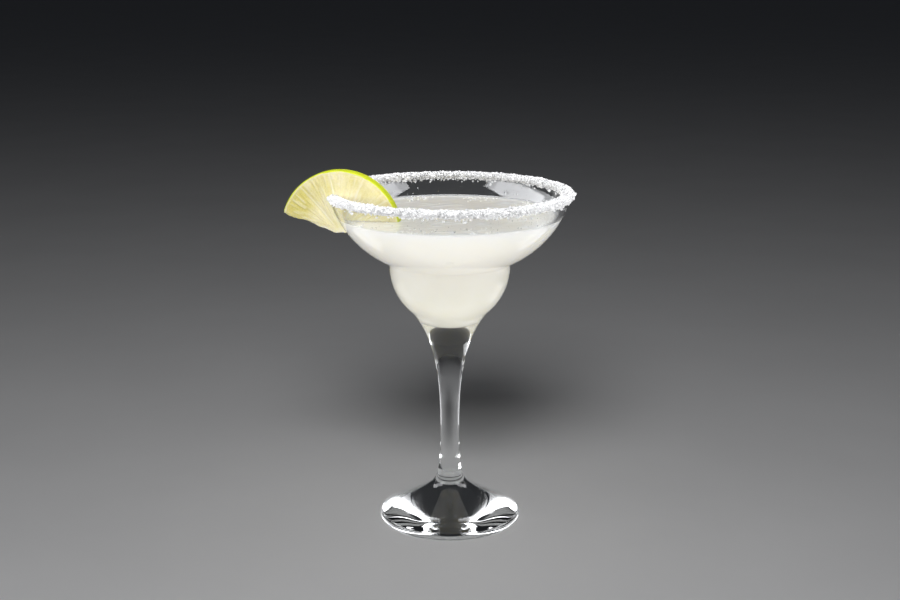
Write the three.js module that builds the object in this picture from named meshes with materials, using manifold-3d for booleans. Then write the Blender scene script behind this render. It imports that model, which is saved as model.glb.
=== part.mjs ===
// Margarita cocktail in its stemmed glass, with a salted rim and a slit half wheel of lime.
// Millimetres, +Z up. The origin is the middle of the foot's underside, on the glass's axis.
import * as THREE from "three";
import { mergeVertices } from "three/addons/utils/BufferGeometryUtils.js";
import Module from "manifold-3d";

const wasm = await Module();
wasm.setup();

const ROUND_STEPS = 52; // facets round the axis of the glass and the drink
const FIT_GAP = 0.3; // room left between pieces that touch

// Glass: foot, stem, small lower bowl and wide upper bowl, all one piece.
const GLASS_HEIGHT = 162;
const WALL = 2.3;
const LIP_ROUND = 1.1;
const FOOT = { radius: 34.3, edgeRound: 2.1, slopeDeg: 27.9, coneTopRadius: 14.2 };
const STEM = { radius: 4.6, low: 44, high: 48 };
const STEM_FOOT_REACH = { top: 26, out: 6.4, up: 3.4 }; // pull of the curve from stem to foot cone
const STEM_BOWL_REACH = { low: 21.4, out: 11.6, down: 14.1 }; // pull of the curve from stem to lower bowl
const LOWER_BOWL = { radius: 28.8, centreHeight: 127, wall: 2.6, seamRadius: 18.2 };
const UPPER_BOWL = { centreRadius: 6.25, centreHeight: 170.8, reach: 51.7, depth: 46.7, seamRadius: 29.4 };
const CAVITY_STEP_HEIGHT = 131.2; // where the upper bowl's floor starts inside

// Drink, up to the level at which it stands.
const DRINK_LEVEL = 151.8;

// Salt crust: a lumpy bead that sits astride the lip.
const SALT = { halfWidth: 2.9, halfHeight: 2.0, dropBelowLip: 0.4, skirtDeg: 40, lump: 0.42 };
const SALT_STEPS = 120;
const SALT_SKIN_STEPS = 7;
const SALT_LINING_STEPS = 3;
const SALT_SEED = 7;

// Lime: a little under half a wheel, slit from its core and pushed over the rim.
const LIME = { radius: 28.7, thickness: 5.8, rind: 1.3, pith: 1.1, edgeRound: 0.7, bulge: 0.3 };
const LIME_SEGMENTS = 11;
const LIME_STEPS_PER_SEGMENT = 6;
const LIME_CENTRE = new THREE.Vector3(-50.3, -11.6, 146);
const LIME_YAW_DEG = -12; // the end inside the glass is turned to the front
const LIME_TIP = { across: -2.2, below: 0.4 }; // the core's end, from the wheel's centre
const LIME_CUT_DEG = { inside: 4, outside: 159 }; // the two cut edges, from the core's end
const SEGMENT_TURN_DEG = 0.5; // first membrane, from the inside end

const rad = THREE.MathUtils.degToRad;
const point = (radius, height) => new THREE.Vector2(radius, height);
const line = (from, to) => new THREE.LineCurve(from, to);

// A seeded stream of numbers from 0 to 1.
function seededRandom(seed) {
  let state = seed;
  return () => {
    state = (state * 1664525 + 1013904223) % 4294967296;
    return state / 4294967296;
  };
}

// Points along a chain of [curve, steps] pairs, each shared end given once.
function chain(pairs) {
  const points = [];
  for (const [curve, steps] of pairs) {
    const sampled = curve.getPoints(steps);
    points.push(...(points.length ? sampled.slice(1) : sampled));
  }
  return points;
}

// A solid of revolution about +Z from a profile of (radius, height) points.
function lathe(profile, steps = ROUND_STEPS) {
  const turned = new THREE.LatheGeometry(profile, steps).rotateX(Math.PI / 2);
  return bare(turned);
}

// A geometry with positions only, and its shared vertices merged.
function bare(geometry) {
  geometry.deleteAttribute("normal");
  geometry.deleteAttribute("uv");
  return mergeVertices(geometry, 1e-4);
}

function toSolid(geometry) {
  const mesh = new wasm.Mesh({
    numProp: 3,
    vertProperties: new Float32Array(geometry.attributes.position.array),
    triVerts: new Uint32Array(geometry.index.array),
  });
  mesh.merge();
  return new wasm.Manifold(mesh);
}

function toGeometry(solid) {
  const { vertProperties, triVerts } = solid.getMesh();
  const geometry = new THREE.BufferGeometry();
  geometry.setAttribute("position", new THREE.BufferAttribute(new Float32Array(vertProperties), 3));
  geometry.setIndex(new THREE.BufferAttribute(new Uint32Array(triVerts), 1));
  return geometry;
}

// The upper bowl's wall is an ellipse about one ring; inset moves it towards the drink.
function upperWall(inset, fromHeight, toHeight) {
  const { centreRadius, centreHeight, reach, depth } = UPPER_BOWL;
  const angleAt = (height) => Math.asin((height - centreHeight) / (depth - inset));
  const start = angleAt(fromHeight);
  const end = angleAt(toHeight);
  const [wide, deep] = [reach - inset, depth - inset];
  return new THREE.EllipseCurve(centreRadius, centreHeight, wide, deep, start, end, end < start);
}

function upperRadius(inset, height) {
  return upperWall(inset, height, GLASS_HEIGHT).getPoint(0).x;
}

// The glass's inside from its floor's middle up to a height, drawn in by gap for what fills it.
function cavityProfile(gap, topHeight) {
  const radius = LOWER_BOWL.radius - LOWER_BOWL.wall - gap;
  const stepHeight = CAVITY_STEP_HEIGHT + gap;
  const step = point(upperRadius(WALL + gap, stepHeight), stepHeight);
  const shoulder = point(radius, LOWER_BOWL.centreHeight + 1.6);
  const corner = point(radius, stepHeight - 1);
  const bowl = new THREE.EllipseCurve(0, LOWER_BOWL.centreHeight, radius, radius, -Math.PI / 2, 0);
  return chain([
    [bowl, 6],
    [line(point(radius, LOWER_BOWL.centreHeight), shoulder), 1],
    [new THREE.QuadraticBezierCurve(shoulder, corner, step), 2],
    [upperWall(WALL + gap, stepHeight, topHeight), 6],
  ]);
}

// The foot's rounded edge, from its underside to where its upper cone starts.
function footEdge() {
  const { radius, edgeRound, slopeDeg } = FOOT;
  const end = Math.PI / 2 - rad(slopeDeg);
  return new THREE.EllipseCurve(radius - edgeRound, edgeRound, edgeRound, edgeRound, -Math.PI / 2, end);
}

// The outside of the glass, from the middle of the foot's underside up to the lip.
function outerProfile(lipHeight) {
  const edge = footEdge();
  const coneFoot = edge.getPoint(1);
  const coneRise = (coneFoot.x - FOOT.coneTopRadius) * Math.tan(rad(FOOT.slopeDeg));
  const coneTop = point(FOOT.coneTopRadius, coneFoot.y + coneRise);
  const stemLow = point(STEM.radius, STEM.low);
  const stemHigh = point(STEM.radius, STEM.high);
  const { radius, centreHeight, seamRadius } = LOWER_BOWL;
  const seamDrop = Math.sqrt(radius ** 2 - seamRadius ** 2);
  const bowlSeam = point(seamRadius, centreHeight - seamDrop);
  const bowlStart = Math.atan2(-seamDrop, seamRadius);
  const bowlWall = new THREE.EllipseCurve(0, centreHeight, radius, radius, bowlStart, 0);
  const equator = point(radius, centreHeight);
  const seamLean = Math.acos((UPPER_BOWL.seamRadius - UPPER_BOWL.centreRadius) / UPPER_BOWL.reach);
  const upperSeamDrop = UPPER_BOWL.depth * Math.sin(seamLean);
  const upperSeam = point(UPPER_BOWL.seamRadius, UPPER_BOWL.centreHeight - upperSeamDrop);
  const footCurve = new THREE.CubicBezierCurve(
    coneTop,
    point(coneTop.x - STEM_FOOT_REACH.out, coneTop.y + STEM_FOOT_REACH.up),
    point(STEM.radius, STEM.low - STEM_FOOT_REACH.top),
    stemLow,
  );
  const bowlCurve = new THREE.CubicBezierCurve(
    stemHigh,
    point(STEM.radius, STEM.high + STEM_BOWL_REACH.low),
    point(bowlSeam.x - STEM_BOWL_REACH.out, bowlSeam.y - STEM_BOWL_REACH.down),
    bowlSeam,
  );
  return chain([
    [line(point(0, 0), point(FOOT.radius - FOOT.edgeRound, 0)), 1],
    [edge, 3],
    [line(coneFoot, coneTop), 1],
    [footCurve, 6],
    [line(stemLow, stemHigh), 1],
    [bowlCurve, 6],
    [bowlWall, 4],
    [line(equator, upperSeam), 1],
    [upperWall(0, upperSeam.y, lipHeight), 7],
  ]);
}

// The rounded lip, from the outer wall over to the inner wall.
function lipArc(lipHeight) {
  const outer = upperRadius(0, lipHeight);
  const inner = upperRadius(WALL, lipHeight);
  const middle = (outer + inner) / 2;
  return new THREE.EllipseCurve(middle, lipHeight, outer - middle, LIP_ROUND, 0, Math.PI);
}

function glassGeometry() {
  const lipHeight = GLASS_HEIGHT - LIP_ROUND;
  const inside = cavityProfile(0, lipHeight).reverse();
  const outside = outerProfile(lipHeight);
  const lip = lipArc(lipHeight).getPoints(4).slice(1, -1);
  return lathe([...outside, ...lip, ...inside]);
}

// The wheel's relief: each segment's pulp stands a little proud of the membranes beside it.
function limeFaceHeight(ring, angle) {
  const fleshRadius = LIME.radius - LIME.rind - LIME.pith;
  const half = LIME.thickness / 2;
  if (ring > LIME.radius - LIME.edgeRound / 2) return half - LIME.edgeRound;
  if (ring >= fleshRadius) return half;
  const turn = ((angle - rad(SEGMENT_TURN_DEG)) / (2 * Math.PI)) * LIME_SEGMENTS;
  const acrossSegment = Math.abs(Math.sin(Math.PI * turn));
  const alongSegment = Math.sin((Math.PI * ring) / fleshRadius);
  return half + LIME.bulge * acrossSegment * alongSegment;
}

// A whole wheel of lime standing in the XZ plane about the origin, grown by gap.
function limeWheel(gap) {
  const { radius, rind, pith, edgeRound } = LIME;
  const flesh = radius - rind - pith;
  const rings = [0.2 * flesh, 0.5 * flesh, 0.8 * flesh, flesh, radius - edgeRound, radius];
  const steps = LIME_SEGMENTS * LIME_STEPS_PER_SEGMENT;
  const positions = [];
  const triangles = [];
  const half = LIME.thickness / 2;
  const count = rings.length;
  for (const side of [-1, 1]) {
    positions.push(0, side * (half + gap), 0);
    for (let s = 0; s < steps; s++) {
      const angle = (2 * Math.PI * s) / steps;
      for (const ring of rings) {
        const reach = ring + (ring === radius ? gap : 0);
        const face = side * (limeFaceHeight(ring, angle) + gap);
        positions.push(reach * Math.cos(angle), face, reach * Math.sin(angle));
      }
    }
  }
  const faceSize = 1 + steps * count;
  const at = (side, step, ring) => side * faceSize + 1 + (step % steps) * count + ring;
  const quad = (a, b, c, d) => triangles.push(a, b, c, a, c, d);
  for (let s = 0; s < steps; s++) {
    triangles.push(0, at(0, s, 0), at(0, s + 1, 0));
    triangles.push(faceSize, at(1, s + 1, 0), at(1, s, 0));
    for (let r = 0; r + 1 < count; r++) {
      quad(at(0, s, r), at(0, s, r + 1), at(0, s + 1, r + 1), at(0, s + 1, r));
      quad(at(1, s, r), at(1, s + 1, r), at(1, s + 1, r + 1), at(1, s, r + 1));
    }
    quad(at(0, s, count - 1), at(1, s, count - 1), at(1, s + 1, count - 1), at(0, s + 1, count - 1));
  }
  const geometry = new THREE.BufferGeometry();
  geometry.setAttribute("position", new THREE.Float32BufferAttribute(positions, 3));
  geometry.setIndex(triangles);
  return toSolid(geometry);
}

// The part of the wheel that is kept: what lies above the two cut edges that meet at the core's end.
function limeKeep(gap) {
  const far = 3 * LIME.radius;
  const tip = point(LIME_TIP.across, -LIME_TIP.below - gap);
  const along = (deg) => point(tip.x + far * Math.cos(rad(deg)), tip.y + far * Math.sin(rad(deg)));
  const inside = along(LIME_CUT_DEG.inside);
  const outside = along(LIME_CUT_DEG.outside);
  const outline = new THREE.Shape([tip, inside, point(inside.x, far), point(outside.x, far), outside]);
  const depth = 2 * LIME.thickness;
  const prism = new THREE.ExtrudeGeometry(outline, { depth, bevelEnabled: false });
  prism.rotateX(Math.PI / 2).translate(0, depth / 2, 0);
  return toSolid(bare(prism));
}

// The slice where it sits on the rim, grown by gap and not yet slit.
function limeSlice(gap) {
  const slice = limeWheel(gap).intersect(limeKeep(gap));
  return slice.rotate([0, 0, LIME_YAW_DEG]).translate(LIME_CENTRE.toArray());
}

// What the slit has to clear: the upper wall, and the salt on its lip.
function slitCutter() {
  const lowest = LIME_CENTRE.z - LIME.thickness;
  const room = SALT.lump + FIT_GAP;
  const [wide, high] = [SALT.halfWidth + room, SALT.halfHeight + room];
  const saltMiddle = GLASS_HEIGHT - SALT.dropBelowLip;
  const wallMiddle = lipArc(GLASS_HEIGHT - LIP_ROUND).aX;
  const skirt = rad(SALT.skirtDeg);
  const crust = new THREE.EllipseCurve(wallMiddle, saltMiddle, wide, high, -skirt, Math.PI + skirt);
  const shoulder = saltMiddle - high * Math.sin(skirt);
  const outer = upperWall(-FIT_GAP, lowest, shoulder);
  const inner = upperWall(WALL + FIT_GAP, shoulder, lowest);
  const profile = chain([
    [outer, 6],
    [line(outer.getPoint(1), crust.getPoint(0)), 1],
    [crust, 10],
    [line(crust.getPoint(1), inner.getPoint(0)), 1],
    [inner, 6],
    [line(inner.getPoint(1), outer.getPoint(0)), 1],
  ]);
  return toSolid(lathe(profile, 2 * ROUND_STEPS));
}

function limeGeometry() {
  return toGeometry(limeSlice(0).subtract(slitCutter()));
}

function drinkGeometry() {
  const profile = cavityProfile(FIT_GAP, DRINK_LEVEL);
  const filled = lathe([...profile, point(0, DRINK_LEVEL)]);
  return toGeometry(toSolid(filled).subtract(limeSlice(FIT_GAP)));
}

// The crust's section at one place round the rim, as a closed loop: lumpy skin, then lining.
function saltSection(random) {
  const lipHeight = GLASS_HEIGHT - LIP_ROUND;
  const middleHeight = GLASS_HEIGHT - SALT.dropBelowLip;
  const wallMiddle = (height) => (upperRadius(0, height) + upperRadius(WALL, height)) / 2;
  const loop = [];
  for (let i = 0; i <= SALT_SKIN_STEPS; i++) {
    const angle = rad(-SALT.skirtDeg + ((180 + 2 * SALT.skirtDeg) * i) / SALT_SKIN_STEPS);
    const grown = SALT.lump * (2 * random() - 1);
    const height = middleHeight + (SALT.halfHeight + grown) * Math.sin(angle);
    const radius = wallMiddle(Math.min(height, lipHeight)) + (SALT.halfWidth + grown) * Math.cos(angle);
    loop.push(point(radius, height));
  }
  const lip = lipArc(lipHeight);
  for (let i = 0; i <= SALT_LINING_STEPS; i++) {
    const angle = Math.PI - (Math.PI * i) / SALT_LINING_STEPS;
    const radius = lip.aX + (lip.xRadius + FIT_GAP) * Math.cos(angle);
    loop.push(point(radius, lipHeight + (LIP_ROUND + FIT_GAP) * Math.sin(angle)));
  }
  return loop;
}

function saltGeometry() {
  const random = seededRandom(SALT_SEED);
  const positions = [];
  const triangles = [];
  const count = SALT_SKIN_STEPS + SALT_LINING_STEPS + 2;
  for (let s = 0; s < SALT_STEPS; s++) {
    const angle = (2 * Math.PI * s) / SALT_STEPS;
    for (const { x: radius, y: height } of saltSection(random)) {
      positions.push(radius * Math.cos(angle), radius * Math.sin(angle), height);
    }
    const next = (s + 1) % SALT_STEPS;
    for (let i = 0; i < count; i++) {
      const j = (i + 1) % count;
      const [a, b, c, d] = [s * count + i, next * count + i, next * count + j, s * count + j];
      triangles.push(a, b, c, a, c, d);
    }
  }
  const geometry = new THREE.BufferGeometry();
  geometry.setAttribute("position", new THREE.Float32BufferAttribute(positions, 3));
  geometry.setIndex(triangles);
  return geometry;
}

function piece(name, geometry, color, roughness) {
  const material = new THREE.MeshStandardMaterial({ color, roughness, metalness: 0 });
  const mesh = new THREE.Mesh(geometry, material);
  mesh.name = name;
  return mesh;
}

const margarita = new THREE.Group();
margarita.add(
  piece("glass", glassGeometry(), 0xe4ebee, 0.04),
  piece("drink", drinkGeometry(), 0xefecdf, 0.25),
  piece("salt_rim", saltGeometry(), 0xf7f7f9, 0.75),
  piece("lime_slice", limeGeometry(), 0xe0dc8c, 0.35),
);

export default margarita;
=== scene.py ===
"""The margarita's looks: clear glass, cloudy drink with froth, salted rim and a slit slice of lime."""
import math

import bmesh
import bpy
import numpy as np
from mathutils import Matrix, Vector


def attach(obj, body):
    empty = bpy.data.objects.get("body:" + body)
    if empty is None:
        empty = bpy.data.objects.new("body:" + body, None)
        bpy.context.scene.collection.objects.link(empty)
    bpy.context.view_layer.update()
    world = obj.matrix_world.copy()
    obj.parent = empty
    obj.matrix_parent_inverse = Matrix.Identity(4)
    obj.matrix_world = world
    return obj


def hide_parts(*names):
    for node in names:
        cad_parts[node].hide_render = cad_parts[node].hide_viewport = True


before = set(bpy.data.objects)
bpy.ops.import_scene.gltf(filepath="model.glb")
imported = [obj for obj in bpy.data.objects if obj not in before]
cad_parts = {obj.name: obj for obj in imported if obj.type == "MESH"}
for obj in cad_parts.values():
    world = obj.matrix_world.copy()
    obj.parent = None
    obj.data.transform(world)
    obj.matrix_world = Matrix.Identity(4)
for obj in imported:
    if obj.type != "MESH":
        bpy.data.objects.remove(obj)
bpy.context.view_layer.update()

MM = 0.001
rad = math.radians

# The glass, drink, salt and lime repeat the part's own sizes, in millimetres.
GLASS_HEIGHT = 162.0
WALL = 2.3
LIP_ROUND = 1.1
FOOT_RADIUS, FOOT_EDGE, FOOT_SLOPE, CONE_TOP_RADIUS = 34.3, 2.1, 27.9, 14.2
STEM_RADIUS, STEM_LOW, STEM_HIGH = 4.6, 44.0, 48.0
# How far each flare's curve is pulled along the stem, then inwards and up or down at its wide end.
FOOT_PULL = (26.0, 6.4, 3.4)
BOWL_PULL = (21.4, 11.6, 14.1)
LOWER_RADIUS, LOWER_HEIGHT, LOWER_WALL, LOWER_SEAM = 28.8, 127.0, 2.6, 18.2
UPPER_RING, UPPER_HEIGHT, UPPER_REACH, UPPER_DEPTH, UPPER_SEAM = 6.25, 170.8, 51.7, 46.7, 29.4
CAVITY_STEP, SHOULDER_RISE, CORNER_DROP = 131.2, 1.6, 1.0
DRINK_LEVEL = 151.8
SALT_WIDE, SALT_HIGH, SALT_DROP, SALT_SKIRT = 2.9, 2.0, 0.4, 40.0
LIME_RADIUS, LIME_HALF = 28.7, 2.9
LIME_CENTRE = np.array([-50.3, -11.6, 146.0])
LIME_YAW = rad(-12)
LIME_TIP = np.array([-2.2, -0.4])
LIME_FROM, LIME_TO = rad(4), rad(159)

ROUND = 144  # steps round the axis
SPACING = 0.1  # between a profile's points while its corners are rounded, in millimetres
TINY = 1e-6  # lengths below this count as nothing
NEAR_AXIS = 1e-3  # profile points nearer than this are put on the axis


# Numbers and curves

AXIS_PRIMES = (73856093, 19349663, 83492791)
SEED_FACTOR, MIX_FACTOR = 2654435761, 1274126177
LOW_32, LOW_24 = 0xFFFFFFFF, 0xFFFFFF


def hashed(cells, seed):
    """A number from 0 to 1 for each whole-number cell."""
    mixed = np.full(cells.shape[:-1], (seed * SEED_FACTOR) & LOW_32, dtype=np.uint64)
    for k, prime in zip(range(cells.shape[-1]), AXIS_PRIMES):
        mixed ^= (cells[..., k].astype(np.int64) & LOW_32).astype(np.uint64) * np.uint64(prime)
        mixed = (mixed ^ (mixed >> np.uint64(13))) * np.uint64(MIX_FACTOR) & np.uint64(LOW_32)
    mixed ^= mixed >> np.uint64(16)
    return (mixed & np.uint64(LOW_24)).astype(float) / LOW_24


def noise(points, seed):
    """Smooth noise from -1 to 1, one unit a cell."""
    points = np.asarray(points, dtype=float)
    low = np.floor(points).astype(np.int64)
    part = points - low
    part = part * part * (3 - 2 * part)
    size = points.shape[-1]
    total = np.zeros(points.shape[:-1])
    for corner in range(2 ** size):
        step = np.array([(corner >> k) & 1 for k in range(size)])
        weight = np.prod(np.where(step == 1, part, 1 - part), axis=-1)
        total += weight * hashed(low + step, seed)
    return total * 2 - 1


def rough_noise(points, seed, octaves=3):
    points = np.asarray(points, dtype=float)
    return sum(noise(points * 2 ** k, seed + k) * 0.5 ** k for k in range(octaves))


def smoothstep(low, high, value):
    t = np.clip((value - low) / (high - low), 0, 1)
    return t * t * (3 - 2 * t)


def line(start, end, count):
    return np.linspace(start, end, count)


def bezier(a, b, c, d, count):
    t = np.linspace(0, 1, count)[:, None]
    a, b, c, d = map(np.array, (a, b, c, d))
    return a * (1 - t) ** 3 + 3 * b * t * (1 - t) ** 2 + 3 * c * t ** 2 * (1 - t) + d * t ** 3


def arc(ring, height, reach, depth, start, end, count):
    t = np.linspace(start, end, count)
    return np.stack([ring + reach * np.cos(t), height + depth * np.sin(t)], -1)


def upper_angle(inset, height):
    return np.arcsin((height - UPPER_HEIGHT) / (UPPER_DEPTH - inset))


def upper_radius(inset, height):
    return UPPER_RING + (UPPER_REACH - inset) * np.cos(upper_angle(inset, height))


def upper_wall(inset, low, high, count):
    start, end = upper_angle(inset, low), upper_angle(inset, high)
    return arc(UPPER_RING, UPPER_HEIGHT, UPPER_REACH - inset, UPPER_DEPTH - inset, start, end, count)


def soften(points, spacing, reach):
    """The polyline spaced evenly, with corners rounded over about reach millimetres. Its ends stay."""
    points = np.asarray(points, dtype=float)
    steps = np.hypot(*np.diff(points, axis=0).T)
    points = points[np.concatenate([[True], steps > TINY])]
    along = np.concatenate([[0], np.cumsum(np.hypot(*np.diff(points, axis=0).T))])
    places = np.linspace(0, along[-1], int(along[-1] / spacing) + 1)
    even = np.stack([np.interp(places, along, points[:, k]) for k in range(2)], -1)
    width = int(3 * reach / spacing)
    kernel = np.exp(-0.5 * (np.arange(-width, width + 1) * spacing / reach) ** 2)
    kernel /= kernel.sum()
    before = 2 * even[0] - even[width:0:-1]
    after = 2 * even[-1] - even[-2:-width - 2:-1]
    padded = np.concatenate([before, even, after])
    return np.stack([np.convolve(padded[:, k], kernel, "valid") for k in range(2)], -1)


def thin(points, tolerance, longest):
    """The fewest points that stay within tolerance of the line, none further apart than longest."""
    kept = [0]
    while kept[-1] < len(points) - 1:
        start = kept[-1]
        best = start + 1
        for end in range(start + 2, len(points)):
            run = points[end] - points[start]
            length = np.hypot(*run)
            if length > longest:
                break
            gap = points[start + 1:end] - points[start]
            off = np.abs(run[0] * gap[:, 1] - run[1] * gap[:, 0]) / max(length, TINY)
            if off.max() > tolerance:
                break
            best = end
        kept.append(best)
    return points[kept]


# Meshes

def make_piece(name, points, faces, material, smooth=True):
    """A mesh object from points in millimetres."""
    mesh = bpy.data.meshes.new(name)
    mesh.from_pydata((np.asarray(points) * MM).tolist(), [], [list(f) for f in faces])
    mesh.validate()
    mesh.update()
    mesh.polygons.foreach_set("use_smooth", np.full(len(mesh.polygons), smooth))
    piece = bpy.data.objects.new(name, mesh)
    bpy.context.scene.collection.objects.link(piece)
    if material is not None:
        mesh.materials.append(material)
    return piece


def lathe(profile, steps=ROUND):
    """Points and faces of a solid of revolution; a profile point on the axis becomes one point."""
    points, rings = [], []
    turn = np.arange(steps) * 2 * math.pi / steps
    for radius, height in profile:
        if radius < TINY:
            rings.append([len(points)])
            points.append((0, 0, height))
        else:
            rings.append(list(range(len(points), len(points) + steps)))
            points.extend(zip(radius * np.cos(turn), radius * np.sin(turn), np.full(steps, height)))
    faces = []
    for low, high in zip(rings, rings[1:]):
        faces.extend(ring_faces(low, high, steps))
    return np.array(points), faces


def ring_faces(low, high, steps):
    faces = []
    for j in range(steps):
        k = (j + 1) % steps
        if len(low) == 1:
            faces.append((low[0], high[k], high[j]))
        elif len(high) == 1:
            faces.append((low[j], low[k], high[0]))
        else:
            faces.append((low[j], low[k], high[k], high[j]))
    return faces


def add_attribute(piece, name, values):
    layer = piece.data.attributes.new(name, "FLOAT", "POINT")
    layer.data.foreach_set("value", np.asarray(values, dtype=np.float32))


# Materials

MIX_AMOUNT, MIX_FIRST, MIX_SECOND, MIX_RESULT = 0, 6, 7, 2  # a mix node's sockets for colours


class Nodes:
    """A short way to write a material's nodes."""

    def __init__(self, name):
        self.material = bpy.data.materials.new(name)
        self.material.use_nodes = True
        self.tree = self.material.node_tree
        self.shader = self.tree.nodes["Principled BSDF"]
        self.output = self.tree.nodes["Material Output"]

    def add(self, kind, **settings):
        node = self.tree.nodes.new("ShaderNode" + kind)
        for key, value in settings.items():
            if key in node.inputs:
                self.put(node.inputs[key], value)
            else:
                setattr(node, key, value)
        return node

    def put(self, socket, value):
        if isinstance(value, bpy.types.NodeSocket):
            self.tree.links.new(value, socket)
        else:
            socket.default_value = value

    def set(self, **values):
        for key, value in values.items():
            self.put(self.shader.inputs[key.replace("_", " ")], value)

    def attribute(self, name):
        return self.add("Attribute", attribute_name=name).outputs["Fac"]

    def noise(self, scale, detail=3.0, rough=0.55):
        """Noise over the object's own coordinates, with a cell of 1/scale metres."""
        place = self.add("TexCoord").outputs["Object"]
        made = self.add("TexNoise", Vector=place, Scale=scale, Detail=detail, Roughness=rough)
        return made.outputs["Fac"]

    def between(self, value, low, high, to_low=0.0, to_high=1.0):
        made = self.add("MapRange", Value=value)
        ends = {"From Min": low, "From Max": high, "To Min": to_low, "To Max": to_high}
        for key, number in ends.items():
            made.inputs[key].default_value = number
        return made.outputs["Result"]

    def mix(self, amount, first, second):
        made = self.add("Mix", data_type="RGBA")
        self.put(made.inputs[MIX_AMOUNT], amount)
        for socket, colour in ((MIX_FIRST, first), (MIX_SECOND, second)):
            linked = isinstance(colour, bpy.types.NodeSocket)
            self.put(made.inputs[socket], colour if linked else (*colour, 1))
        return made.outputs[MIX_RESULT]

    def math(self, operation, first, second):
        made = self.add("Math", operation=operation)
        self.put(made.inputs[0], first)
        self.put(made.inputs[1], second)
        return made.outputs[0]

    def bump(self, height, strength, distance):
        made = self.add("Bump", Height=height, Strength=strength, Distance=distance)
        self.tree.links.new(made.outputs["Normal"], self.shader.inputs["Normal"])


def glass_material():
    made = Nodes("clear_glass")
    smudge = made.between(made.noise(60, 4), 0.45, 0.75, 0.0, 0.035)
    made.set(Base_Color=(0.985, 0.995, 0.995, 1), Roughness=smudge, IOR=1.5, Transmission_Weight=1.0)
    ray = made.add("LightPath").outputs["Is Shadow Ray"]
    clear = made.add("BsdfTransparent", Color=(0.97, 0.98, 0.98, 1))
    both = made.add("MixShader")
    made.put(both.inputs[0], ray)
    made.put(both.inputs[1], made.shader.outputs[0])
    made.put(both.inputs[2], clear.outputs[0])
    made.put(made.output.inputs["Surface"], both.outputs[0])
    return made.material


# The drink's pale top colour is partly painted light that evens out the upper bowl's shade.
DRINK_PALE_AND_PAINTED_LIGHT, DRINK_DEEP = (0.91, 0.875, 0.81), (0.885, 0.85, 0.735)
# The last colour here is a dark blue-grey painted shade for the drink's top next to the wall.
DRINK_CLOUD, DRINK_FROTH, DRINK_PAINTED_SHADE = (0.93, 0.90, 0.84), (0.945, 0.935, 0.89), (0.12, 0.14, 0.19)


def drink_material():
    made = Nodes("cloudy_drink")
    cloud = made.between(made.noise(130, 4, 0.6), 0.35, 0.7)
    # Deeper yellow low down, paler above; the paler top is partly painted light.
    body = made.mix(made.attribute("deep"), DRINK_PALE_AND_PAINTED_LIGHT, DRINK_DEEP)
    body = made.mix(made.math("MULTIPLY", cloud, 0.35), body, DRINK_CLOUD)
    body = made.mix(made.attribute("froth"), body, DRINK_FROTH)
    # Painted shade: a dark line on the drink's top where it meets the wall.
    body = made.mix(made.attribute("edge"), body, DRINK_PAINTED_SHADE)
    made.set(Base_Color=body, Roughness=0.05, IOR=1.34, Specular_IOR_Level=0.3)
    made.set(Coat_Weight=0.15, Coat_Roughness=0.03, Coat_IOR=1.5)
    made.set(Subsurface_Weight=1.0, Subsurface_Scale=0.010, Subsurface_Radius=(1.0, 0.97, 0.85))
    made.bump(made.noise(900, 3), 0.05, 0.0004)
    return made.material


def froth_material():
    made = Nodes("froth_bubbles")
    patchy = made.between(made.noise(700, 2), 0.3, 0.7)
    colour = made.mix(patchy, (0.88, 0.87, 0.82), (0.95, 0.945, 0.92))
    made.set(Base_Color=colour, Roughness=0.06, IOR=1.34)
    made.set(Subsurface_Weight=0.4, Subsurface_Scale=0.0008, Subsurface_Radius=(1, 1, 1))
    return made.material


def salt_material(name, lightest):
    made = Nodes(name)
    grain = made.between(made.noise(1600, 3), 0.3, 0.7)
    made.set(Base_Color=made.mix(grain, (0.93, 0.935, 0.95), lightest), Roughness=0.42, IOR=1.54)
    made.set(Subsurface_Weight=0.9, Subsurface_Scale=0.0010, Subsurface_Radius=(1, 1, 1))
    made.bump(made.noise(3500, 2), 0.15, 0.0002)
    return made.material


def lime_material():
    made = Nodes("lime_flesh_and_peel")
    pulp, tone = made.attribute("pulp"), made.attribute("tone")
    fine = made.between(made.noise(1400, 3), 0.3, 0.7)
    light = made.mix(fine, (0.84, 0.76, 0.42), (0.90, 0.84, 0.57))
    olive = made.mix(fine, (0.66, 0.58, 0.16), (0.76, 0.69, 0.27))
    flesh = made.mix(tone, light, olive)
    flesh = made.mix(pulp, flesh, (0.93, 0.89, 0.70))
    flesh = made.mix(made.attribute("membrane"), flesh, (0.93, 0.90, 0.76))
    flesh = made.mix(made.attribute("pith"), flesh, (0.90, 0.87, 0.58))
    patchy = made.between(made.noise(260, 3), 0.3, 0.7)
    peel = made.mix(patchy, (0.59, 0.69, 0.02), (0.74, 0.80, 0.045))
    colour = made.mix(made.attribute("peel"), flesh, peel)
    gloss = made.between(made.attribute("peel"), 0, 1, 0.2, 0.36)
    made.set(Base_Color=colour, Roughness=gloss, IOR=1.38)
    made.set(Subsurface_Weight=0.45, Subsurface_Scale=0.0022, Subsurface_Radius=(1.0, 0.9, 0.35))
    made.bump(made.noise(2200, 2), 0.22, 0.0003)
    return made.material


def floor_material():
    made = Nodes("pale_floor")
    shade = made.between(made.noise(9, 3), 0.3, 0.7)
    made.set(Base_Color=made.mix(shade, (0.71, 0.71, 0.72), (0.74, 0.74, 0.75)), Roughness=0.7)
    return made.material


# Glass

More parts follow.
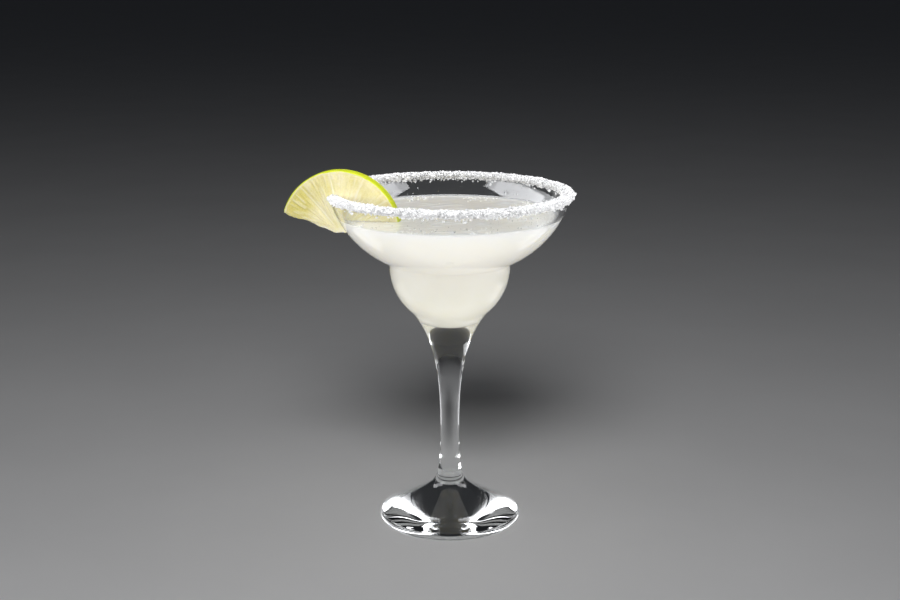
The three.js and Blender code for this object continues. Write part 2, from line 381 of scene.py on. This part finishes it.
def outer_profile(lip_height):
    slope = rad(FOOT_SLOPE)
    edge_ring = FOOT_RADIUS - FOOT_EDGE
    edge = arc(edge_ring, FOOT_EDGE, FOOT_EDGE, FOOT_EDGE, -math.pi / 2, math.pi / 2 - slope, 24)
    cone_top = (CONE_TOP_RADIUS, edge[-1][1] + (edge[-1][0] - CONE_TOP_RADIUS) * math.tan(slope))
    drop = math.sqrt(LOWER_RADIUS ** 2 - LOWER_SEAM ** 2)
    seam = (LOWER_SEAM, LOWER_HEIGHT - drop)
    lean = math.acos((UPPER_SEAM - UPPER_RING) / UPPER_REACH)
    upper_seam = UPPER_HEIGHT - UPPER_DEPTH * math.sin(lean)
    low, high = (STEM_RADIUS, STEM_LOW), (STEM_RADIUS, STEM_HIGH)
    along, inwards, up = FOOT_PULL
    foot_ends = ((cone_top[0] - inwards, cone_top[1] + up), (STEM_RADIUS, STEM_LOW - along))
    along, inwards, down = BOWL_PULL
    bowl_ends = ((STEM_RADIUS, STEM_HIGH + along), (seam[0] - inwards, seam[1] - down))
    return np.concatenate([
        line((0, 0), (edge_ring, 0), 12),
        edge,
        line(edge[-1], cone_top, 12),
        bezier(cone_top, *foot_ends, low, 60),
        line(low, high, 4),
        bezier(high, *bowl_ends, seam, 60),
        arc(0, LOWER_HEIGHT, LOWER_RADIUS, LOWER_RADIUS, math.atan2(-drop, LOWER_SEAM), 0, 40),
        upper_wall(0, upper_seam, lip_height, 80),
    ])


def cavity_profile(gap, top):
    """The glass's inside, from its floor's middle up to a height, drawn in by gap (out if negative)."""
    radius = LOWER_RADIUS - LOWER_WALL - gap
    step = CAVITY_STEP + gap
    shoulder = np.array([radius, LOWER_HEIGHT + SHOULDER_RISE])
    corner = np.array([radius, step - CORNER_DROP])
    start = np.array([upper_radius(WALL + gap, step), step])
    t = np.linspace(0, 1, 12)[:, None]
    rounded = shoulder * (1 - t) ** 2 + 2 * corner * t * (1 - t) + start * t ** 2
    return np.concatenate([
        arc(0, LOWER_HEIGHT, radius, radius, -math.pi / 2, 0, 60),
        rounded,
        upper_wall(WALL + gap, step, top, 80),
    ])


def on_axis(profile):
    profile[np.abs(profile[:, 0]) < NEAR_AXIS, 0] = 0
    return profile


GLASS_ROUNDING, GLASS_TOLERANCE, GLASS_STEP = 0.35, 0.003, 2.2  # in millimetres


def make_glass():
    lip_height = GLASS_HEIGHT - LIP_ROUND
    outer, inner = upper_radius(0, lip_height), upper_radius(WALL, lip_height)
    lip = arc((outer + inner) / 2, lip_height, (outer - inner) / 2, LIP_ROUND, 0, math.pi, 16)
    profile = np.concatenate([outer_profile(lip_height), lip, cavity_profile(0, lip_height)[::-1]])
    profile = soften(profile, SPACING, GLASS_ROUNDING)
    profile = on_axis(thin(profile, GLASS_TOLERANCE, GLASS_STEP))
    piece = make_piece("glass_body", *lathe(profile), glass_material())
    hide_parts("glass")
    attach(piece, "root")
    return piece


# Drink

MENISCUS, MENISCUS_REACH = 0.8, 1.0  # how far the drink climbs the wall, and how far in that fades
INTO_WALL = 0.12  # how far the drink reaches into the glass, so that no air shows between them
DRINK_ROUNDING, DRINK_TOLERANCE, DRINK_STEP = 0.3, 0.004, 2.0
STREAK, RIPPLE = 0.09, 0.015  # heights of the froth's streaks and of the fine ripples
FIRST_RING, EDGE_BAND, MIDDLE_RADIUS = 0.04, 4.0, 0.4  # where the surface's rings begin, widen and end
EDGE_RINGS, INNER_RINGS = 12, 89
PAINTED_SHADE_AMOUNT = 0.9  # how much of the dark painted shade shows on the drink's top at the wall
DEEP_LOW, DEEP_HIGH = 102, 140  # the heights between which the drink turns from deep to pale; the pale top is partly painted light


def surface_height(x, y):
    """How far the drink's froth stands above its level, in millimetres."""
    place = np.stack([x, y], -1)
    streak = rough_noise(place / np.array([5.5, 3.2]) + rough_noise(place / 9, 60)[..., None], 61, 4)
    return STREAK * smoothstep(-0.1, 0.9, streak) + RIPPLE * rough_noise(place / 0.9, 71, 2)


def make_drink():
    side = soften(cavity_profile(-INTO_WALL, DRINK_LEVEL + MENISCUS), SPACING, DRINK_ROUNDING)
    side = on_axis(thin(side, DRINK_TOLERANCE, DRINK_STEP))
    points, faces = lathe(side)
    edge_radius = side[-1][0]
    near_wall = np.linspace(0, EDGE_BAND, EDGE_RINGS + 1)[1:]
    further_in = np.linspace(EDGE_BAND, edge_radius - MIDDLE_RADIUS, INNER_RINGS + 1)[1:]
    inward = np.concatenate([[FIRST_RING], near_wall, further_in])
    turn = np.arange(ROUND) * 2 * math.pi / ROUND
    rings, added, start = [list(range(len(points) - ROUND, len(points)))], [], len(points)
    for depth in inward:
        radius = edge_radius - depth
        x, y = radius * np.cos(turn), radius * np.sin(turn)
        froth = surface_height(x, y) * smoothstep(0.3, 3, depth)
        z = DRINK_LEVEL + MENISCUS * math.exp(-depth / MENISCUS_REACH) + froth
        rings.append(list(range(start + len(added) * ROUND, start + (len(added) + 1) * ROUND)))
        added.append(np.stack([x, y, z], -1))
    middle = start + len(added) * ROUND
    top_points = np.concatenate([*added, [[0, 0, DRINK_LEVEL]]])
    for low, high in zip(rings, rings[1:] + [[middle]]):
        faces.extend(ring_faces(low, high, ROUND))
    points = np.concatenate([points, top_points])
    piece = make_piece("drink_body", points, faces, drink_material())
    where = np.array([v.co for v in piece.data.vertices]) / MM
    foam = smoothstep(0.02, 0.08, surface_height(where[:, 0], where[:, 1]))
    from_wall = edge_radius - np.hypot(where[:, 0], where[:, 1])
    # The ring of the top next to the wall gets the dark painted shade, fading out within about 2 mm.
    painted_wall_shade = PAINTED_SHADE_AMOUNT * (1 - smoothstep(0.5, 2.2, from_wall))
    add_attribute(piece, "froth", np.where(where[:, 2] > DRINK_LEVEL - 0.05, foam, 0))
    add_attribute(piece, "edge", np.where(np.arange(len(where)) >= start, painted_wall_shade, 0))
    # Deeper colour below, paler above: the paler top is partly painted light.
    add_attribute(piece, "deep", 1 - smoothstep(DEEP_LOW, DEEP_HIGH, where[:, 2]))
    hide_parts("drink")
    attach(piece, "root")
    return piece


def small_ball(steps=8, rings=5):
    """Points and faces of a unit ball with few sides."""
    turn = np.linspace(-math.pi / 2, math.pi / 2, rings + 1)
    profile = np.stack([np.cos(turn), np.sin(turn)], -1)
    return lathe(on_axis(profile), steps)


def copies(points, faces, places, sizes, turns=None):
    """Copies of one small mesh, joined. Each has a place, one or three sizes and a turn."""
    points = np.asarray(points)
    sizes = np.asarray(sizes).reshape(len(places), -1)
    made = points[None] * (sizes[:, None, :] if sizes.shape[1] == 3 else sizes[:, None])
    if turns is not None:
        made = np.einsum("nij,npj->npi", turns, made)
    made = made + np.asarray(places)[:, None]
    count = len(points)
    all_faces = [tuple(i + n * count for i in face) for n in range(len(places)) for face in faces]
    return made.reshape(-1, 3), all_faces


def random_turns(random, count):
    q = random.normal(size=(count, 4))
    w, x, y, z = (q / np.linalg.norm(q, axis=1, keepdims=True)).T
    return np.stack([
        np.stack([1 - 2 * (y * y + z * z), 2 * (x * y - z * w), 2 * (x * z + y * w)], -1),
        np.stack([2 * (x * y + z * w), 1 - 2 * (x * x + z * z), 2 * (y * z - x * w)], -1),
        np.stack([2 * (x * z - y * w), 2 * (y * z + x * w), 1 - 2 * (x * x + y * y)], -1),
    ], 1)


BUBBLES, BUBBLE_TRIES = 420, 1500


def make_froth():
    random = np.random.default_rng(21)
    edge = upper_radius(WALL, DRINK_LEVEL)
    turn = random.uniform(0, 2 * math.pi, BUBBLE_TRIES)
    clump = noise(np.stack([np.cos(turn) * 3, np.sin(turn) * 3], -1), 5)
    inward = random.exponential(4.0, BUBBLE_TRIES) + 1.2
    keep = (clump > -0.25) & (inward < 30)
    turn, inward = turn[keep][:BUBBLES], inward[keep][:BUBBLES]
    size = random.uniform(0.12, 0.38, len(turn))
    radius = edge - inward - size * 0.5
    x, y = radius * np.cos(turn), radius * np.sin(turn)
    z = DRINK_LEVEL + surface_height(x, y) + MENISCUS * np.exp(-inward / MENISCUS_REACH) + size * 0.15
    points, faces = copies(*small_ball(), np.stack([x, y, z], -1), size)
    piece = make_piece("froth_bubbles", points, faces, froth_material())
    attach(piece, "root")
    return piece


def droplet_material():
    made = Nodes("clear_droplets")
    haze = made.between(made.noise(900, 2), 0.3, 0.7, 0.0, 0.04)
    made.set(Base_Color=(0.97, 0.98, 0.98, 1), Roughness=haze, IOR=1.33, Transmission_Weight=1.0)
    return made.material


def make_droplets():
    """Drops left on the inside of the wall, between the drink and the salt."""
    random = np.random.default_rng(33)
    count = 260
    turn = random.uniform(0, 2 * math.pi, count)
    lowest, spread = DRINK_LEVEL + 1.6, 6.2
    height = lowest + spread * random.uniform(0, 1, count) ** 1.4
    size = 0.10 * np.exp(random.normal(0.35, 0.5, count)).clip(0.6, 4)
    lean = 0.01  # half the step, in millimetres, over which the wall's lean is read
    rise = (upper_radius(WALL, height + lean) - upper_radius(WALL, height - lean)) / (2 * lean)
    steep = np.arctan(rise)
    radius = upper_radius(WALL, height)
    across = np.stack([-np.sin(turn), np.cos(turn), np.zeros(count)], -1)
    inward = np.stack([-np.cos(turn) * np.cos(steep), -np.sin(turn) * np.cos(steep), np.sin(steep)], -1)
    turns = np.stack([across, np.cross(inward, across), inward], -1)
    places = np.stack([radius * np.cos(turn), radius * np.sin(turn), height], -1)
    sizes = size[:, None] * np.array([1.0, 1.25, 0.55])
    points, faces = copies(*small_ball(10, 6), places, sizes, turns)
    piece = make_piece("wall_droplets", points, faces, droplet_material())
    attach(piece, "root")
    return piece


# Salt

LUMP, LUMP_CELL = 0.25, 1.6  # height and breadth of the crust's lumps
RIM_RADIUS, CRUST_RADIUS = 56, 2.6  # roughly, to keep the lumps even along and across the crust
CORE_GROWN, GRAINS_GROWN = -0.28, -0.30  # from the part's crust to the core and to the grains' middles
GRAINS, GRAIN_SIZE = 9500, 0.3
LOOSE_GRAINS, LOOSE_TOP, LOOSE_DROP = 420, 1.7, 0.55  # their number, start below the lip and usual fall


def crust_place(turn, angle, grown):
    """A point on the salt crust, grown outwards by some millimetres, and the way it faces."""
    height = GLASS_HEIGHT - SALT_DROP + (SALT_HIGH + grown) * np.sin(angle)
    wall_height = np.minimum(height, GLASS_HEIGHT - LIP_ROUND)
    wall = (upper_radius(0, wall_height) + upper_radius(WALL, wall_height)) / 2
    radius = wall + (SALT_WIDE + grown) * np.cos(angle)
    return np.stack([radius * np.cos(turn), radius * np.sin(turn), height], -1)


def crust_lumps(turn, angle):
    """How far the lumps stand out, in millimetres. The core and the grains share them."""
    ring = RIM_RADIUS / LUMP_CELL
    place = np.stack([ring * np.cos(turn), ring * np.sin(turn), CRUST_RADIUS * angle / LUMP_CELL], -1)
    return LUMP * rough_noise(place, 31, 2)


def make_salt_core():
    turns, across = 420, 22
    turn = np.arange(turns) * 2 * math.pi / turns
    skirt = rad(SALT_SKIRT)
    loops = []
    for i in range(across + 1):
        angle = np.full(turns, -skirt + (math.pi + 2 * skirt) * i / across)
        loops.append(crust_place(turn, angle, CORE_GROWN + crust_lumps(turn, angle)))
    lip_height = GLASS_HEIGHT - LIP_ROUND
    outer, inner = upper_radius(0, lip_height), upper_radius(WALL, lip_height)
    inset = 0.08  # how far the core's inside lies under the lip's surface
    for angle in np.linspace(math.pi, 0, 7):
        radius = (outer + inner) / 2 + ((outer - inner) / 2 - inset) * math.cos(angle)
        height = np.full(turns, lip_height + (LIP_ROUND - inset) * math.sin(angle))
        loops.append(np.stack([radius * np.cos(turn), radius * np.sin(turn), height], -1))
    points = np.concatenate(loops)
    count = len(loops)
    faces = []
    for i in range(count):
        low = range(i * turns, (i + 1) * turns)
        high = range((i + 1) % count * turns, ((i + 1) % count + 1) * turns)
        faces.extend(ring_faces(list(low), list(high), turns))
    core = make_piece("salt_crust", points, faces, salt_material("salt_packed", (0.97, 0.973, 0.98)))
    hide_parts("salt_rim")
    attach(core, "root")
    return core


def make_salt_grains():
    random = np.random.default_rng(11)
    skirt = rad(SALT_SKIRT)
    turn = random.uniform(0, 2 * math.pi, GRAINS)
    reach = skirt + 0.25 * noise(np.stack([np.cos(turn) * 22, np.sin(turn) * 22], -1), 41)
    angle = -reach + (math.pi + 2 * reach) * random.uniform(0, 1, GRAINS)
    grown = GRAINS_GROWN + crust_lumps(turn, angle) + random.uniform(-0.12, 0.12, GRAINS)
    places = np.concatenate([crust_place(turn, angle, grown), loose_grains(random)])
    size = np.exp(random.normal(math.log(GRAIN_SIZE), 0.28, len(places)))
    sizes = size[:, None] * random.uniform(0.7, 1.25, (len(places), 3))
    cube = np.array([(x, y, z) for x in (-1, 1) for y in (-1, 1) for z in (-1, 1)], dtype=float)
    cube_faces = [(0, 1, 3, 2), (4, 6, 7, 5), (0, 4, 5, 1), (2, 3, 7, 6), (0, 2, 6, 4), (1, 5, 7, 3)]
    points, faces = copies(cube, cube_faces, places, sizes, random_turns(random, len(places)))
    points += random.uniform(-0.09, 0.09, points.shape)
    crystals = salt_material("salt_crystals", (0.98, 0.982, 0.985))
    grains = make_piece("salt_grains", points, faces, crystals, smooth=False)
    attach(grains, "root")
    return grains


def loose_grains(random):
    """Grains stuck to the wall below the crust, outside and inside."""
    turn = random.uniform(0, 2 * math.pi, LOOSE_GRAINS)
    drop = random.exponential(LOOSE_DROP, LOOSE_GRAINS)
    height = GLASS_HEIGHT - LOOSE_TOP - drop
    outside = random.uniform(0, 1, LOOSE_GRAINS) < 0.65
    off_wall = 0.12
    radius = np.where(outside, upper_radius(0, height) + off_wall, upper_radius(WALL, height) - off_wall)
    keep = height > DRINK_LEVEL + 2
    return np.stack([radius * np.cos(turn), radius * np.sin(turn), height], -1)[keep]


# Lime

PEEL, PITH, MEMBRANE = 0.45, 0.7, 0.34  # widths in millimetres
SEGMENTS = 11
END_SAG = 1.2  # how far the free end hangs below a straight cut
SEGMENT_BENDS = (0.5, 34.5, 65.0, 99.5, 131.0, 165.0, 197, 229, 262, 295, 328)  # the membranes' angles
SEGMENT_RIPE = (0, 0.05, 0.1, 0.25, 0.25, 0.2, 0, 0, 0, 0, 0)  # how olive each segment is
PATCH_PLACE = (-19.5, 11.5)  # the middle of the most olive patch
LINES_SHOWN = 0.45  # how strongly the pith and the membranes stand out
FRONT_SEED, BACK_SEED = 0, 40


def segment_place(s, t):
    """A point's segment, its distance to the nearest membrane in millimetres, and its polar place."""
    radius = np.hypot(s, t)
    angle = np.degrees(np.arctan2(t, s)) % 360
    bends = np.array([*SEGMENT_BENDS, SEGMENT_BENDS[0] + 360])
    wobble = 1.6 * noise(np.stack([radius / 7, angle / 50], -1), 15)
    index = np.clip(np.searchsorted(bends, angle + wobble) - 1, 0, SEGMENTS - 1)
    near = np.minimum(np.abs(angle + wobble - bends[index]), np.abs(bends[index + 1] - angle - wobble))
    return index, np.radians(near) * radius, radius, np.radians(angle)


def vesicles(radius, angle, side):
    """The juice sacs: long cells that point at the core, lighter and darker, from 0 to 1."""
    along = radius / 5.5 + 0.6 * noise(np.stack([radius / 3, angle * 9], -1), 81 + side)
    cells = noise(np.stack([angle * 26, along], -1), 83 + side)
    finer = noise(np.stack([angle * 60, radius / 3.2], -1), 87 + side)
    return np.clip(0.5 + 0.45 * cells + 0.28 * finer, 0, 1)


def face_relief(s, t, side):
    """How far the cut face stands out, in millimetres."""
    _, apart, radius, angle = segment_place(s, t)
    flesh_edge = LIME_RADIUS - PEEL - PITH
    inside = smoothstep(0, 2.2, flesh_edge - radius) * smoothstep(MEMBRANE, 2.0, apart)
    inside = inside * smoothstep(1, 6, radius)
    ridge = 0.12 * (1 - smoothstep(0, MEMBRANE, apart)) * smoothstep(2, 5, radius)
    sacs = vesicles(radius, angle, side)
    lumps = 0.16 * rough_noise(np.stack([s, t], -1) / 4.5, 95 + side, 2)
    return inside * (0.12 + 0.42 * sacs + lumps) + ridge - 0.1 * (1 - inside) * (radius < flesh_edge)


def lime_profile(angle, around):
    """One cut through the wheel, from its front tip over the peel to its back tip: places and depths."""
    out = np.array([math.cos(angle), math.sin(angle)])
    along = LIME_TIP @ out
    length = -along + math.sqrt(along ** 2 - LIME_TIP @ LIME_TIP + LIME_RADIUS ** 2)
    ragged = 0.35 * float(noise(np.array([angle * 14, 3.5]), 33))
    length += 0.12 * ragged
    round_edge = 0.75
    flat = (length - round_edge) * around
    corner = np.linspace(0, math.pi / 2, 6)[1:]
    edge_in = length - round_edge + round_edge * np.sin(corner)
    edge_depth = LIME_HALF - round_edge + round_edge * np.cos(corner)
    strip = np.linspace(edge_depth[-1], -edge_depth[-1], 8)[1:-1]
    reach = np.concatenate([flat, edge_in, np.full(len(strip), length), edge_in[::-1], flat[::-1]])
    face = np.full(len(flat), LIME_HALF)
    depth = np.concatenate([face, edge_depth, strip, -edge_depth[::-1], -face])
    return LIME_TIP + reach[:, None] * out, depth


def lime_axes():
    """The slice's own directions: along it, up, and forward out of its face."""
    along = (math.cos(LIME_YAW), math.sin(LIME_YAW), 0)
    forward = (math.sin(LIME_YAW), -math.cos(LIME_YAW), 0)
    return np.array([along, (0, 0, 1), forward])


def to_rim(local):
    """From the slice's own places to the part's frame, in millimetres."""
    return LIME_CENTRE + local @ lime_axes()


def from_rim(points):
    """From the part's frame to the slice's own places, in millimetres."""
    return (points - LIME_CENTRE) @ lime_axes().T


def slit_cutter():
    """The glass wall and the crust on its lip, a little grown."""
    room, crust_room = 0.12, -0.1
    wide, high = SALT_WIDE + crust_room, SALT_HIGH + crust_room
    middle = GLASS_HEIGHT - SALT_DROP
    lip = GLASS_HEIGHT - LIP_ROUND
    wall_middle = (upper_radius(0, lip) + upper_radius(WALL, lip)) / 2
    skirt = rad(SALT_SKIRT)
    shoulder = middle - high * math.sin(skirt)
    crust = arc(wall_middle, middle, wide, high, -skirt, math.pi + skirt, 24)
    below_slice = 138
    outer = upper_wall(-room, below_slice, shoulder, 24)
    inner = upper_wall(WALL + room, below_slice, shoulder, 24)[::-1]
    loop = np.concatenate([outer, crust, inner])
    steps = 240
    points, faces = lathe(loop, steps)
    last = (len(loop) - 1) * steps
    faces.extend(ring_faces(list(range(last, last + steps)), list(range(steps)), steps))
    return make_piece("slit_cutter", points, faces, None)


def make_lime():
    turns, steps = 260, 104
    around = np.linspace(0, 1, steps) ** 0.85
    angles = np.linspace(LIME_FROM, LIME_TO, turns)
    rows = []
    for angle in angles:
        place, depth = lime_profile(angle, around)
        rim = np.abs(depth) < LIME_HALF - TINY
        front, back = face_relief(*place.T, FRONT_SEED), face_relief(*place.T, BACK_SEED)
        relief = np.where(depth > 0, front, back)
        depth = depth + np.where(rim, 0, np.sign(depth) * relief)
        rows.append(np.column_stack([place, depth]))
    count = len(rows[0])
    local = np.concatenate(rows)
    ends = np.zeros(len(local), dtype=bool)
    ends[:count] = ends[-count:] = True
    wobble = 0.45 * rough_noise(local / 2.2, 57, 2)
    from_tip = np.hypot(*(local[:, :2] - LIME_TIP).T)
    local[ends, 1] += wobble[ends] * smoothstep(0, 3, from_tip[ends])
    local[-count:, 1] -= END_SAG * smoothstep(13, 25, from_tip[-count:])
    faces = []
    for row in range(turns - 1):
        for i in range(count - 1):
            a, b = row * count + i, (row + 1) * count + i
            faces.append((a, a + 1, b + 1, b))
    for row, flip in ((0, False), (turns - 1, True)):
        first, half = row * count, count // 2
        for i in range(half - 1):
            quad = (first + i, first + count - 1 - i, first + count - 2 - i, first + i + 1)
            faces.append(quad[::-1] if flip else quad)
    piece = make_piece("lime_wheel_slice", to_rim(local), faces, lime_material())
    join_tips(piece)
    cut_slit(piece)
    paint_lime(piece)
    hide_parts("lime_slice")
    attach(piece, "root")
    return piece


def join_tips(piece):
    """Merges the many points at the core's end."""
    made = bmesh.new()
    made.from_mesh(piece.data)
    bmesh.ops.remove_doubles(made, verts=made.verts, dist=0.004 * MM)
    bmesh.ops.dissolve_degenerate(made, edges=made.edges, dist=0.002 * MM)
    bmesh.ops.recalc_face_normals(made, faces=made.faces)
    made.to_mesh(piece.data)
    made.free()


def cut_slit(piece):
    cutter = slit_cutter()
    cut = piece.modifiers.new("slit", "BOOLEAN")
    cut.operation, cut.object, cut.solver = "DIFFERENCE", cutter, "MANIFOLD"
    bpy.context.view_layer.update()
    done = bpy.data.meshes.new_from_object(piece.evaluated_get(bpy.context.evaluated_depsgraph_get()))
    piece.modifiers.clear()
    old, piece.data = piece.data, done
    bpy.data.meshes.remove(old)
    bpy.data.objects.remove(cutter)
    piece.data.polygons.foreach_set("use_smooth", np.ones(len(piece.data.polygons), dtype=bool))


def paint_lime(piece):
    """Marks where the peel, pith, membranes and juice sacs are, from each point's own place."""
    local = from_rim(np.array([v.co for v in piece.data.vertices]) / MM)
    s, t, depth = local.T
    index, apart, radius, angle = segment_place(s, t)
    uneven = 0.15 * noise(np.stack([angle * 9, depth / 3], -1), 19)
    peel = smoothstep(-0.15, 0.15, radius - (LIME_RADIUS - PEEL) + uneven)
    pith = smoothstep(-0.5, 0.3, radius - (LIME_RADIUS - PEEL - PITH) + uneven)
    core = 1 - smoothstep(1.2, 3.2, radius)
    walls = (1 - smoothstep(0.1, MEMBRANE + 0.25, apart)) * smoothstep(1.5, 6, radius)
    membrane = np.maximum(walls, core)
    front, back = vesicles(radius, angle, FRONT_SEED), vesicles(radius, angle, BACK_SEED)
    sacs = np.where(depth > 0, front, back)
    ripe = np.array(SEGMENT_RIPE)[index]
    patch = 0.8 * np.exp(-((s - PATCH_PLACE[0]) / 6) ** 2 - ((t - PATCH_PLACE[1]) / 5.5) ** 2)
    tone = patch + ripe * smoothstep(8, 20, radius) + 0.2 * smoothstep(16, 26, radius)
    tone = np.clip(tone + 0.25 * rough_noise(np.stack([s, t], -1) / 6, 23, 2), 0, 1)
    add_attribute(piece, "peel", peel)
    add_attribute(piece, "pith", pith * LINES_SHOWN)
    add_attribute(piece, "membrane", membrane * LINES_SHOWN)
    add_attribute(piece, "pulp", 0.4 * smoothstep(0.45, 0.95, sacs))
    add_attribute(piece, "tone", tone)


# Stage

def make_floor():
    half, height = 40000, -0.3
    corners = [(-half, -half, height), (half, -half, height), (half, half, height), (-half, half, height)]
    floor = make_piece("floor", corners, [(0, 1, 2, 3)], floor_material())
    return floor


COOL, WHITE = (0.97, 0.975, 1), (1, 1, 1)
LOWER_BOWL, UPPER_STEM = (0, 0, 0.115), (0, 0, 0.09)  # what the lights are aimed at, in metres
KEY = {"azimuth": -5, "elevation": 38, "distance": 1.0, "wide": 0.40, "high": 0.40}
BOX = {"elevation": 31, "distance": 0.75, "high": 0.26, "colour": COOL}
BAR = {"elevation": -22, "distance": 0.16, "wide": 0.028, "high": 0.07, "colour": COOL, "aim": UPPER_STEM}
FILL = {"distance": 0.90, "wide": 0.90, "high": 0.30}
LOW, RAISED, OVERHEAD = -12, 14, 89.5  # elevations of the fills, in degrees


def softbox(name, azimuth, elevation, distance, wide, high, power, colour=WHITE, aim=LOWER_BOWL):
    """An area light that faces the drink; azimuth 0 is the camera's side and 90 its right."""
    lamp = bpy.data.lights.new(name, "AREA")
    lamp.shape, lamp.size, lamp.size_y = "RECTANGLE", wide, high
    lamp.energy, lamp.color = power, colour
    holder = bpy.data.objects.new(name, lamp)
    bpy.context.scene.collection.objects.link(holder)
    a, e = rad(azimuth), rad(elevation)
    away = Vector((math.sin(a) * math.cos(e), -math.cos(a) * math.cos(e), math.sin(e)))
    holder.location = Vector(aim) + away * distance
    holder.rotation_euler = (-away).to_track_quat("-Z", "Y").to_euler()
    holder.visible_camera = False
    return holder


def group(name, members):
    made = bpy.data.collections.new(name)
    for member in members:
        made.objects.link(member)
    return made


def make_light(glass, drink, wet, salt, lime, floor):
    """Lights for the floor and the salt, boxes that show in the glass, and fills for drink and lime."""
    world = bpy.data.worlds.new("dim_room")
    bpy.context.scene.world = world
    world.use_nodes = True
    world.node_tree.nodes["Background"].inputs["Color"].default_value = (0.012, 0.013, 0.015, 1)

    floor_key = softbox("key_light", power=6.4, **KEY)
    salt_key = softbox("salt_light", power=2.4, **KEY)
    boxes = [
        softbox("left_box", azimuth=-84, wide=1.10, power=4.3, **BOX),
        softbox("right_box", azimuth=88, wide=1.00, power=3.85, **BOX),
    ]
    for azimuth in (-106, -119, 106, 119):
        boxes.append(softbox(f"low_bar_{azimuth}", azimuth=azimuth, power=0.0062, **BAR))
    fills = [
        softbox("front_fill", 0, LOW, power=4.8, **FILL),
        softbox("left_fill", -90, LOW, power=4.4, **FILL),
        softbox("back_fill", 180, LOW, power=5.0, **FILL),
        softbox("right_fill", 90, LOW, power=4.4, **FILL),
        softbox("under_fill", 0, -OVERHEAD, distance=0.60, wide=1.20, high=1.20, power=6.9),
    ]
    lime_fills = [
        softbox("lime_front_fill", -8, RAISED, power=6.9, **FILL),
        softbox("lime_back_fill", 172, RAISED, power=6.0, **FILL),
    ]
    top_fill = softbox("top_fill", 0, OVERHEAD, distance=0.60, wide=0.50, high=0.50, power=3.5)

    everything = group("all_pieces", [glass, drink, *wet, *salt, lime])
    links = (
        (boxes, group("glass_and_salt", [glass, *wet, *salt])),
        (fills, group("all_but_lime", [glass, drink, *wet, *salt])),
        (lime_fills, group("lime_alone", [lime])),
        ([top_fill], everything),
    )
    for lamps, receivers in links:
        for lamp in lamps:
            lamp.light_linking.receiver_collection = receivers
            lamp.light_linking.blocker_collection = everything
    floor_key.light_linking.receiver_collection = group("floor_alone", [floor])
    salt_key.light_linking.receiver_collection = group("salt_alone", salt)
    # These light the pieces but aren't mirrored in the glass.
    for lamp in [floor_key, salt_key, *fills, *lime_fills, top_fill]:
        lamp.visible_glossy = lamp.visible_transmission = False
    glass.visible_diffuse = False  # keeps a glow of focused light off the floor


LENS, SENSOR = 56.74, 36.0  # in millimetres
CAMERA_PLACE, CAMERA_TILT = (0.0001, -0.6608, 0.2737), 13.913  # in metres, and in degrees below level


def make_camera():
    """A camera fitted to the photo's rim, drink level, bowl step and foot."""
    camera = bpy.data.cameras.new("photo_camera")
    camera.sensor_width, camera.lens = SENSOR, LENS
    holder = bpy.data.objects.new("photo_camera", camera)
    bpy.context.scene.collection.objects.link(holder)
    holder.location = CAMERA_PLACE
    holder.rotation_euler = (rad(90 - CAMERA_TILT), 0, 0)
    bpy.context.scene.camera = holder
    bpy.context.scene.view_settings.view_transform = "Standard"


glass_piece, drink_piece = make_glass(), make_drink()
wet_pieces = [make_froth(), make_droplets()]
salt_pieces = [make_salt_core(), make_salt_grains()]
make_light(glass_piece, drink_piece, wet_pieces, salt_pieces, make_lime(), make_floor())
make_camera()
